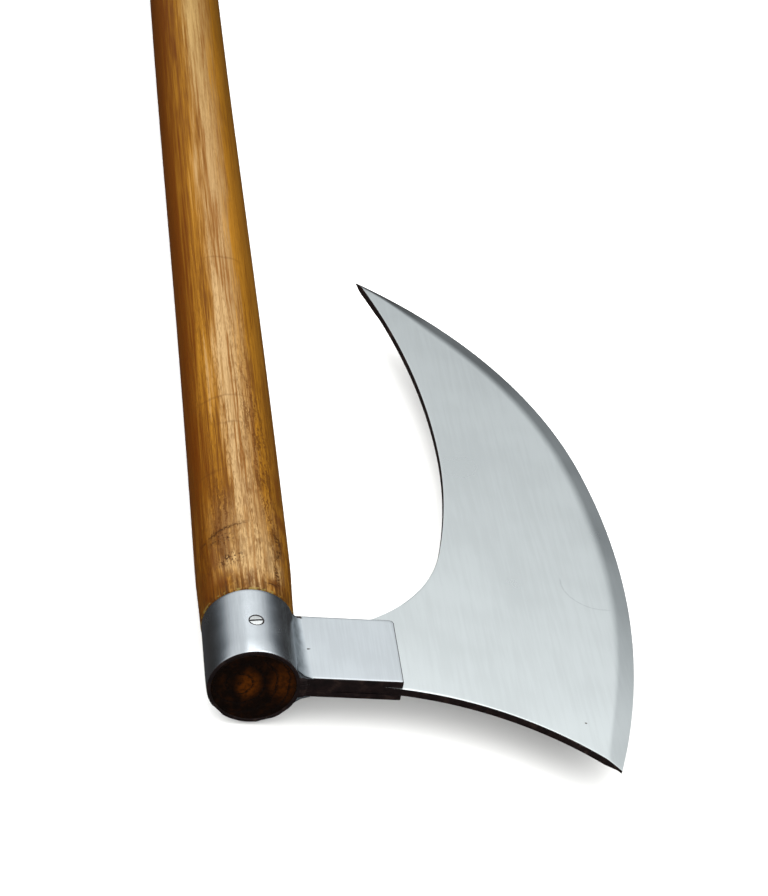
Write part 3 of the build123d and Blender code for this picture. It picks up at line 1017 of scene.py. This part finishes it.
def scale_and_painted_shade(colours):
    """Nearly black brown, rough, with a dull greasy shine: scale and dried oil on flame-cut and sawn edges,
    and painted shade where faces turn from the light, in slots and gaps, and along worn corners.

    It is made once and shared by the pieces that show it.
    """
    name = "cut_edge_scale_and_painted_shade"
    if name in bpy.data.materials:
        return bpy.data.materials[name]
    material, tree, place = new_material(name)
    brown = [(0.3, linear("#150E0E")), (0.55, colours.scale), (0.75, linear("#4C3B34"))]
    ridges = lumps(tree, place, (1.4, 1.4, 6), 3, 0.6)
    return finish(
        material,
        Base_Color=node(tree, "ValToRGB", lumps(tree, place, (4, 4, 4), 4, 0.6), stops=brown),
        Normal=node(tree, "Bump", Height=ridges, Strength=0.6, Distance=0.25 * MM),
        Roughness=0.6,
        Specular_IOR_Level=0.3,
    )


def studio_floor(colours):
    """Matt seamless paper: pale, even and without gloss."""
    material, tree, place = new_material("matt_studio_paper")
    tooth = node(tree, "MapRange SMOOTHSTEP", lumps(tree, place, (3, 3, 3), 2), 0.3, 0.7, 0, 0.02)
    shade = node(tree, "Mix RGBA", tooth, colours.floor, (0.8, 0.8, 0.8))
    return finish(material, Base_Color=shade, Roughness=0.95, Specular_IOR_Level=0.1)


# Operators


class AXE_OT_haft(Operator):
    """Builds the shaved and stained ash haft"""

    bl_idname = "axe.haft"
    bl_label = "Haft"

    def execute(self, context):
        size, colours = context.scene.axe_sizes, context.scene.axe_colours
        points, profile = haft_points(size)
        on_end = (profile[:-1, 1] == 0) | (profile[1:, 1] == size.haft_length)
        add_piece(
            "ash_haft",
            [patch(points, (False, True), on_end.astype(int)[:, None])],
            [stained_ash(size, colours), end_grain(colours)],
            ["haft"],
        )
        return {"FINISHED"}


class AXE_OT_socket(Operator):
    """Builds the socket tube with its countersunk hole"""

    bl_idname = "axe.socket"
    bl_label = "Socket Tube"

    def execute(self, context):
        size, colours = context.scene.axe_sizes, context.scene.axe_colours
        # Brushing along the tube leaves soft bands of light and dark that follow its length
        brushed = worked_steel("brushed_steel_tube", colours.socket, (0.22, 0.28), (0.5, 14, 0.5), 14, 0.08)
        finishes = [brushed, scale_and_painted_shade(colours)]
        add_piece("socket_sleeve", tube_patches(size), finishes, ["socket_tube"])
        return {"FINISHED"}


class AXE_OT_blade(Operator):
    """Builds the crescent blade with its ground bevels"""

    bl_idname = "axe.blade"
    bl_label = "Blade"

    def execute(self, context):
        size, colours = context.scene.axe_sizes, context.scene.axe_colours
        # A curved scratch: short marks set along an arc, whose middle and radius are in millimetres
        out, along, radius = 163, 77, 17.6
        scratches = []
        for turn in np.radians(np.arange(178, 271, 13)):
            middle = (out + radius * math.cos(turn), along + radius * math.sin(turn))
            scratches.append((middle, (0.35, 2.6), math.degrees(turn)))
        pits = [((140.5, -15.8), (0.5, 0.4), 0)]
        # Linished plate mirrors the ceiling as one soft pale sheet, broken only by the bevel
        ground = worked_steel(
            "linished_blade_steel", colours.blade, (0.27, 0.33), (2, 40, 2), 45, 0.05, pits, scratches
        )
        add_piece(
            "crescent_blade", [blade_patch(size)], [ground, scale_and_painted_shade(colours)], ["blade"]
        )
        return {"FINISHED"}


class AXE_OT_cheeks(Operator):
    """Builds the two cheek plates that hold the blade's tang"""

    bl_idname = "axe.cheeks"
    bl_label = "Cheek Plates"

    def execute(self, context):
        size, colours = context.scene.axe_sizes, context.scene.axe_colours
        pits = [((21.8, 40.6), (1.3, 0.9), -35), ((24, 20), (1.0, 0.35), 10)]
        # A satin finish a little darker than the blade's, with two dark pits
        satin = worked_steel("satin_cheek_steel", colours.cheek, (0.27, 0.33), (0.9, 25, 0.9), 25, 0.06, pits)
        for name, side in (("upper_cheek", 1), ("lower_cheek", -1)):
            add_piece(
                f"{name}_plate", [cheek_patch(size, side)], [satin, scale_and_painted_shade(colours)], [name]
            )
        return {"FINISHED"}


class AXE_OT_welds(Operator):
    """Builds the hollow fillet welds on the cheeks and the bead beside the mouth"""

    bl_idname = "axe.welds"
    bl_label = "Welds"

    def execute(self, context):
        size, colours = context.scene.axe_sizes, context.scene.axe_colours
        # Dressed weld is rougher, so the corner turns a soft grey before it runs out into the cheek's satin
        fade = (colours.cheek, 20, 25)
        dressed = worked_steel(
            "dressed_weld_steel", colours.weld, (0.45, 0.58), (1.5, 3, 1.5), 6, 0.2, fade=fade
        )
        for name, side in (("upper_weld", 1), ("lower_weld", -1)):
            add_piece(f"{name}_fillet", [weld_patch(size, side)], [dressed], [name])
        # The bead is painted dark: partly scale on the weld, partly painted shade on a face turned from the
        # light
        add_piece("mouth_weld_bead", [bead_patch(size)], [scale_and_painted_shade(colours)], ["mouth_weld"])
        return {"FINISHED"}


class AXE_OT_screw(Operator):
    """Builds the slotted screw that pins the haft"""

    bl_idname = "axe.screw"
    bl_label = "Screw"

    def execute(self, context):
        size, colours = context.scene.axe_sizes, context.scene.axe_colours
        # Turned bright, so that it stands out pale against the painted shade in its slot and round its rim
        bright = worked_steel("bright_screw_steel", colours.screw, (0.25, 0.35), (0.8, 3, 0.8), 3, 0.15)
        add_piece(
            "slotted_wood_screw",
            screw_patches(size),
            [bright, scale_and_painted_shade(colours)],
            ["socket_screw"],
        )
        return {"FINISHED"}


class AXE_OT_stage(Operator):
    """Sets up the pale floor, the soft light and the camera"""

    bl_idname = "axe.stage"
    bl_label = "Stage"

    def execute(self, context):
        size, colours = context.scene.axe_sizes, context.scene.axe_colours
        floor = add_floor(-size.haft_radius - 0.25 * MM, colours)
        add_light("overhead_softbox", (0.3, 0.9, 2.4), (0.1, 0.2, 0), (2.4, 2.0), 24)
        wash = add_light("floor_wash", (0.0, 0.3, 4.0), (0.0, 0.3, 0), (14, 14), 900)
        only_floor = bpy.data.collections.new("floor_wash_receivers")
        only_floor.objects.link(floor)
        wash.light_linking.receiver_collection = only_floor
        wash.light_linking.blocker_collection = only_floor
        add_sky()
        add_camera()
        context.scene.view_settings.view_transform = "Standard"
        return {"FINISHED"}


def add_floor(height, colours):
    """A wide flat sheet, level with the haft's underside. The object neither mirrors it nor is lit by it."""
    half_width = 4.5
    corners = np.linspace(-half_width, half_width, 9)
    vertices, quads, _ = patch(stack(corners[:, None], corners[None], height))
    mesh = bpy.data.meshes.new("studio_floor")
    mesh.from_pydata(vertices.tolist(), [], quads.tolist())
    mesh.materials.append(studio_floor(colours))
    floor = bpy.data.objects.new("studio_floor", mesh)
    floor.visible_glossy = False
    floor.visible_diffuse = False
    bpy.context.scene.collection.objects.link(floor)
    return floor


def add_light(name, place, target, across, power):
    """A rectangular softbox aimed at a point."""
    light = bpy.data.lights.new(name, "AREA")
    light.shape = "RECTANGLE"
    light.size, light.size_y = across
    light.energy = power
    holder = bpy.data.objects.new(name, light)
    holder.location = place
    aim = np.array(target) - np.array(place)
    holder.rotation_euler = Vector(aim).to_track_quat("-Z", "Y").to_euler()
    bpy.context.scene.collection.objects.link(holder)
    return holder


def add_sky():
    """A studio seen as a dome: dim walls near the horizon, a bright ceiling, and white behind the object.

    The wall at the head end is brighter in the steel, so that the blade shines from behind too.
    """
    world = bpy.data.worlds.new("studio_dome")
    world.use_nodes = True
    tree = world.node_tree
    across, along, rise = node(tree, "SeparateXYZ", node(tree, "TexCoord", take="Generated")).node.outputs
    ray = node(tree, "LightPath").node.outputs
    tilted = node(tree, "Math SUBTRACT", rise, node(tree, "Math MULTIPLY", across, 0.2))
    head_end = node(tree, "MapRange SMOOTHSTEP", along, 0.5, -0.6, 0, 0.5)
    lift = node(tree, "Math MULTIPLY", head_end, ray["Is Glossy Ray"])
    lift = node(tree, "Math MULTIPLY", lift, node(tree, "MapRange SMOOTHSTEP", rise, -0.05, 0.15))
    share = node(tree, "Math MULTIPLY_ADD", node(tree, "Math ADD", tilted, lift), 0.5, 0.5)
    stops = [
        (0.0, (0.06, 0.06, 0.065)),
        (0.40, (0.035, 0.032, 0.03)),
        (0.55, (0.055, 0.055, 0.057)),
        (0.62, (0.12, 0.125, 0.135)),
        (0.67, (0.2, 0.215, 0.23)),
        (0.71, (0.45, 0.465, 0.48)),
        (0.75, (0.83, 0.84, 0.85)),
        (0.79, WHITE),
        (1.0, WHITE),
    ]
    dome = node(tree, "ValToRGB", share, stops=stops)
    low = node(tree, "MapRange SMOOTHSTEP", rise, 0.05, -0.3)
    dome = coats(tree, dome, (low, ray["Is Diffuse Ray"], (0.1, 0.095, 0.09)))
    shown = node(tree, "Mix RGBA", ray["Is Camera Ray"], dome, WHITE)
    fill(tree, tree.nodes["Background"].inputs["Color"], shown)
    bpy.context.scene.world = world


def add_camera():
    """A long lens above the mouth, looking down along the haft."""
    camera = bpy.data.cameras.new("camera")
    camera.lens = 98.44
    camera.sensor_width = 36.0
    camera.clip_start = 0.05
    camera.clip_end = 50.0
    holder = bpy.data.objects.new("camera", camera)
    holder.location = (-0.13838, -0.75972, 0.68343)
    holder.rotation_euler = tuple(math.radians(a) for a in (54.00932, -8.98718, -6.39175))
    bpy.context.scene.collection.objects.link(holder)
    bpy.context.scene.camera = holder


class AXE_PT_panel(Panel):
    """Lists the pieces, their sizes and their colours"""

    bl_idname = "AXE_PT_panel"
    bl_label = "Crescent Axe"
    bl_space_type = "VIEW_3D"
    bl_region_type = "UI"
    bl_category = "Axe"

    def draw(self, context):
        for operator in OPERATORS:
            self.layout.operator(operator.bl_idname)
        for settings in (context.scene.axe_sizes, context.scene.axe_colours):
            box = self.layout.box()
            for name in settings.__annotations__:
                box.prop(settings, name)


OPERATORS = (
    AXE_OT_haft,
    AXE_OT_socket,
    AXE_OT_blade,
    AXE_OT_cheeks,
    AXE_OT_welds,
    AXE_OT_screw,
    AXE_OT_stage,
)
CLASSES = (AxeSizes, AxeColours, *OPERATORS, AXE_PT_panel)


def register():
    for cls in CLASSES:
        bpy.utils.register_class(cls)
    bpy.types.Scene.axe_sizes = PointerProperty(type=AxeSizes)
    bpy.types.Scene.axe_colours = PointerProperty(type=AxeColours)


def unregister():
    del bpy.types.Scene.axe_colours
    del bpy.types.Scene.axe_sizes
    for cls in reversed(CLASSES):
        bpy.utils.unregister_class(cls)


def main():
    register()
    bpy.ops.axe.haft()
    bpy.ops.axe.socket()
    bpy.ops.axe.blade()
    bpy.ops.axe.cheeks()
    bpy.ops.axe.welds()
    bpy.ops.axe.screw()
    bpy.ops.axe.stage()


if __name__ == "__main__":
    main()
